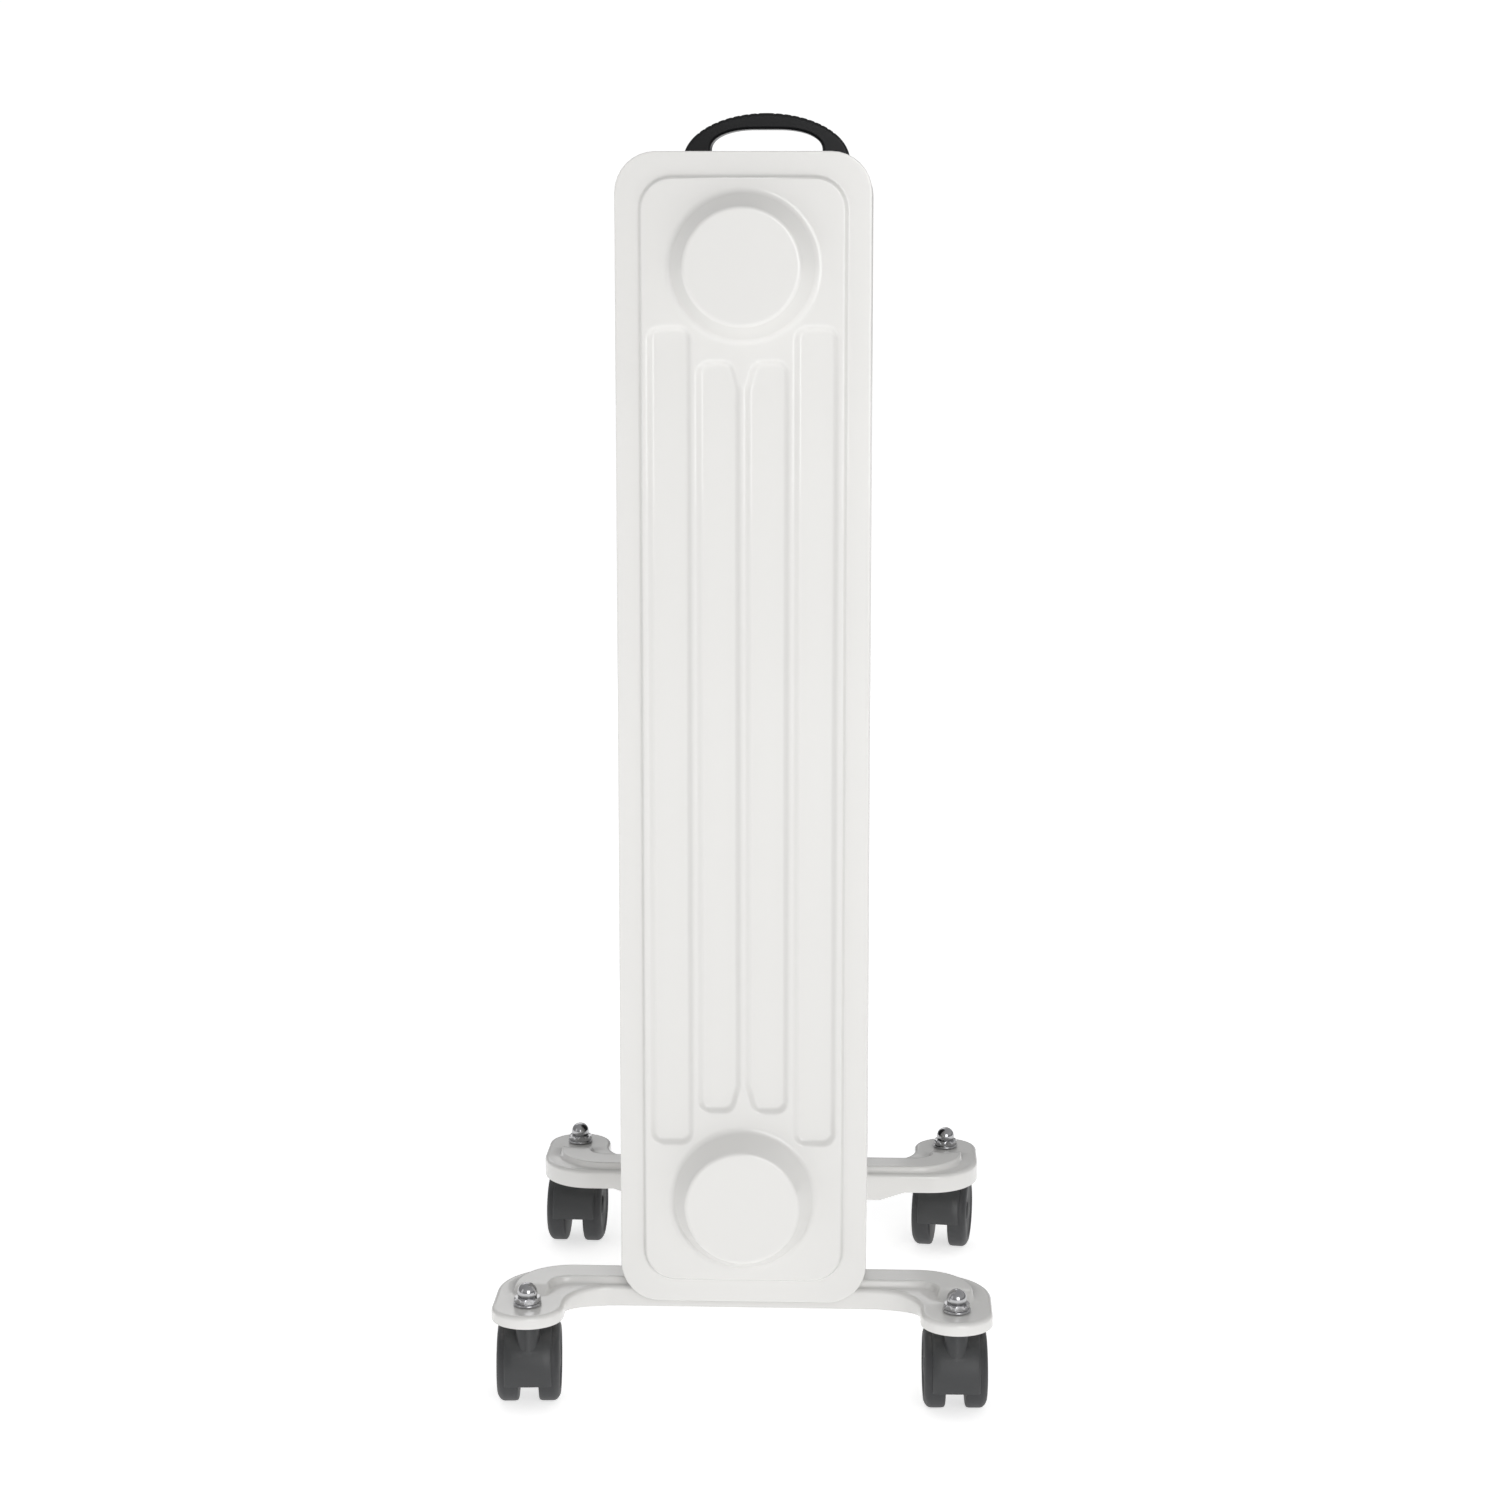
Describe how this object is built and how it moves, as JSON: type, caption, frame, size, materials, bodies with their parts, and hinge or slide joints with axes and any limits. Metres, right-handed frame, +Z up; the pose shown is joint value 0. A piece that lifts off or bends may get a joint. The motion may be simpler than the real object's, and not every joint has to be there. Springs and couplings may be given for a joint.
{
  "type": "oil filled radiator heater",
  "caption": "Free-standing oil filled column radiator on swivelling twin-wheel casters, with a thermostat, switches and a lifting handle at one end.",
  "frame": {"origin": "bottom centre of the bounding box, on the floor under the wheels", "axes": "+Z up along the fins, -Y towards the plain end fin, +Y towards the control end, +X to the right seen from the plain end"},
  "size_m": [0.243, 0.3813, 0.632],
  "materials": {
    "white_paint": "glossy warm white powder coat",
    "charcoal_plastic": "satin charcoal moulding",
    "black_plastic": "fine grained black moulding",
    "chrome_nut": "bright nickel chrome",
    "zinc_steel": "bright zinc plate",
    "red_lens": "clear red lens",
    "insulator": "cream moulded insulator"
  },
  "bodies": {
    "radiator": {"control_housing": "black_plastic", "control_panel": "black_plastic", "cord_cleat": "black_plastic", "cord_gland": "black_plastic", "element_flange": "zinc_steel", "far_bracket": "white_paint", "far_left_dome_nut": "chrome_nut", "far_left_kingpin": "zinc_steel", "far_right_dome_nut": "chrome_nut", "far_right_kingpin": "zinc_steel", "far_u_bolt": "zinc_steel", "fin_1_front_shell": "white_paint", "fin_1_rear_shell": "white_paint", "fin_2_front_shell": "white_paint", "fin_2_rear_shell": "white_paint", "fin_3_front_shell": "white_paint", "fin_3_rear_shell": "white_paint", "fin_4_front_shell": "white_paint", "fin_4_rear_shell": "white_paint", "fin_5_front_shell": "white_paint", "fin_5_rear_shell": "white_paint", "fin_6_front_shell": "white_paint", "fin_6_rear_shell": "white_paint", "fin_7_front_shell": "white_paint", "fin_7_rear_shell": "white_paint", "handle": "black_plastic", "heating_element": "zinc_steel", "left_switch_body": "black_plastic", "near_bracket": "white_paint", "near_left_dome_nut": "chrome_nut", "near_left_kingpin": "zinc_steel", "near_right_dome_nut": "chrome_nut", "near_right_kingpin": "zinc_steel", "near_u_bolt": "zinc_steel", "oil_filler_plug": "zinc_steel", "pilot_lamp": "red_lens", "right_switch_body": "black_plastic", "terminal_block": "insulator", "thermal_cutout": "insulator", "thermostat": "zinc_steel"},
    "near_left_caster": {"near_left_caster_housing": "charcoal_plastic", "near_left_axle": "zinc_steel"},
    "near_left_wheel_outer": {"near_left_wheel_outer": "charcoal_plastic"},
    "near_left_wheel_inner": {"near_left_wheel_inner": "charcoal_plastic"},
    "near_right_caster": {"near_right_caster_housing": "charcoal_plastic", "near_right_axle": "zinc_steel"},
    "near_right_wheel_outer": {"near_right_wheel_outer": "charcoal_plastic"},
    "near_right_wheel_inner": {"near_right_wheel_inner": "charcoal_plastic"},
    "far_left_caster": {"far_left_caster_housing": "charcoal_plastic", "far_left_axle": "zinc_steel"},
    "far_left_wheel_outer": {"far_left_wheel_outer": "charcoal_plastic"},
    "far_left_wheel_inner": {"far_left_wheel_inner": "charcoal_plastic"},
    "far_right_caster": {"far_right_caster_housing": "charcoal_plastic", "far_right_axle": "zinc_steel"},
    "far_right_wheel_outer": {"far_right_wheel_outer": "charcoal_plastic"},
    "far_right_wheel_inner": {"far_right_wheel_inner": "charcoal_plastic"},
    "thermostat_knob": {"thermostat_knob": "black_plastic"},
    "left_rocker": {"left_rocker": "black_plastic"},
    "right_rocker": {"right_rocker": "black_plastic"}
  },
  "joints": [
    {"name": "near_left_swivel", "type": "hinge", "parent": "radiator", "child": "near_left_caster", "pos_m": [-0.104, -0.174, 0.04], "axis": [0, 0, 1], "continuous": true},
    {"name": "near_left_outer_wheel_spin", "type": "hinge", "parent": "near_left_caster", "child": "near_left_wheel_outer", "pos_m": [-0.10479, -0.16102, 0.02], "axis": [0.9981, 0.061, 0], "continuous": true},
    {"name": "near_left_inner_wheel_spin", "type": "hinge", "parent": "near_left_caster", "child": "near_left_wheel_inner", "pos_m": [-0.10479, -0.16102, 0.02], "axis": [0.9981, 0.061, 0], "continuous": true},
    {"name": "near_right_swivel", "type": "hinge", "parent": "radiator", "child": "near_right_caster", "pos_m": [0.104, -0.174, 0.04], "axis": [0, 0, 1], "continuous": true},
    {"name": "near_right_outer_wheel_spin", "type": "hinge", "parent": "near_right_caster", "child": "near_right_wheel_outer", "pos_m": [0.10355, -0.16101, 0.02], "axis": [0.9994, 0.0349, 0], "continuous": true},
    {"name": "near_right_inner_wheel_spin", "type": "hinge", "parent": "near_right_caster", "child": "near_right_wheel_inner", "pos_m": [0.10355, -0.16101, 0.02], "axis": [0.9994, 0.0349, 0], "continuous": true},
    {"name": "far_left_swivel", "type": "hinge", "parent": "radiator", "child": "far_left_caster", "pos_m": [-0.104, 0.086, 0.04], "axis": [0, 0, 1], "continuous": true},
    {"name": "far_left_outer_wheel_spin", "type": "hinge", "parent": "far_left_caster", "child": "far_left_wheel_outer", "pos_m": [-0.10445, 0.07301, 0.02], "axis": [-0.9994, 0.0349, 0], "continuous": true},
    {"name": "far_left_inner_wheel_spin", "type": "hinge", "parent": "far_left_caster", "child": "far_left_wheel_inner", "pos_m": [-0.10445, 0.07301, 0.02], "axis": [-0.9994, 0.0349, 0], "continuous": true},
    {"name": "far_right_swivel", "type": "hinge", "parent": "radiator", "child": "far_right_caster", "pos_m": [0.104, 0.086, 0.04], "axis": [0, 0, 1], "continuous": true},
    {"name": "far_right_outer_wheel_spin", "type": "hinge", "parent": "far_right_caster", "child": "far_right_wheel_outer", "pos_m": [0.10219, 0.07313, 0.02], "axis": [-0.9903, 0.1392, 0], "continuous": true},
    {"name": "far_right_inner_wheel_spin", "type": "hinge", "parent": "far_right_caster", "child": "far_right_wheel_inner", "pos_m": [0.10219, 0.07313, 0.02], "axis": [-0.9903, 0.1392, 0], "continuous": true},
    {"name": "thermostat_turn", "type": "hinge", "parent": "radiator", "child": "thermostat_knob", "pos_m": [0, 0.16785, 0.51212], "axis": [0, -0.9912, -0.1322], "range_deg": [0, 270]},
    {"name": "left_rocker_tilt", "type": "hinge", "parent": "radiator", "child": "left_rocker", "pos_m": [-0.022, 0.16349, 0.55997], "axis": [1, 0, 0], "range_deg": [0, 20]},
    {"name": "right_rocker_tilt", "type": "hinge", "parent": "radiator", "child": "right_rocker", "pos_m": [0.022, 0.16349, 0.55997], "axis": [1, 0, 0], "range_deg": [0, 20]}
  ]
}
